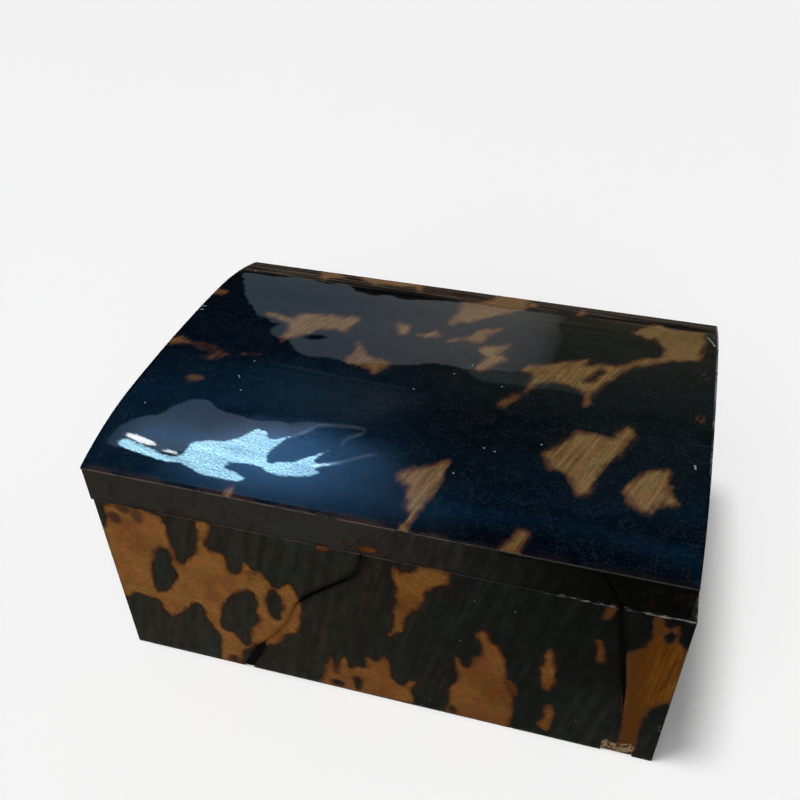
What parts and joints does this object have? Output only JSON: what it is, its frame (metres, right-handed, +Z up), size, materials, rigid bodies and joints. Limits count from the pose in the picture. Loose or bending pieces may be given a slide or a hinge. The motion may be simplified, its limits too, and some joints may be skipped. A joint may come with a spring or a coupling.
{
  "type": "domed box",
  "caption": "Rectangular wooden box for papers and keepsakes, veneered in mottled tortoiseshell, with a shallow domed lid hinged along the back.",
  "frame": {"origin": "middle of the underside of the base, on the surface that the box stands on", "axes": "+X along the front to the right, +Y from the front to the hinged back, +Z up"},
  "size_m": [0.2516, 0.184, 0.1211],
  "materials": {
    "carcase_wood": "bare, waxed",
    "tortoiseshell": "polished horn-like veneer, amber and near-black mottling",
    "hinge_brass": "dull, worn"
  },
  "bodies": {
    "base": {"base_back_board": "carcase_wood", "base_back_veneer_left": "tortoiseshell", "base_back_veneer_right": "tortoiseshell", "base_bottom_board": "carcase_wood", "base_front_board": "carcase_wood", "base_front_veneer_left": "tortoiseshell", "base_front_veneer_middle": "tortoiseshell", "base_front_veneer_right": "tortoiseshell", "base_left_board": "carcase_wood", "base_left_veneer": "tortoiseshell", "base_right_board": "carcase_wood", "base_right_veneer": "tortoiseshell", "hinge_base_screws": "hinge_brass", "left_hinge_base_leaf": "hinge_brass", "left_hinge_pin": "hinge_brass", "right_hinge_base_leaf": "hinge_brass", "right_hinge_pin": "hinge_brass"},
    "lid": {"hinge_lid_screws": "hinge_brass", "left_hinge_lid_leaf": "hinge_brass", "lid_back_rail": "carcase_wood", "lid_back_veneer_left": "tortoiseshell", "lid_back_veneer_right": "tortoiseshell", "lid_front_rail": "carcase_wood", "lid_front_veneer_left": "tortoiseshell", "lid_front_veneer_middle": "tortoiseshell", "lid_front_veneer_right": "tortoiseshell", "lid_left_rail": "carcase_wood", "lid_left_veneer": "tortoiseshell", "lid_right_rail": "carcase_wood", "lid_right_veneer": "tortoiseshell", "lid_stave_1": "carcase_wood", "lid_stave_2": "carcase_wood", "lid_stave_3": "carcase_wood", "lid_stave_4": "carcase_wood", "lid_top_veneer": "tortoiseshell", "right_hinge_lid_leaf": "hinge_brass"}
  },
  "joints": [
    {"name": "lid_hinge", "type": "hinge", "parent": "base", "child": "lid", "pos_m": [0, 0.0895, 0.0935], "axis": [-1, 0, 0], "range_deg": [0, 99]}
  ]
}
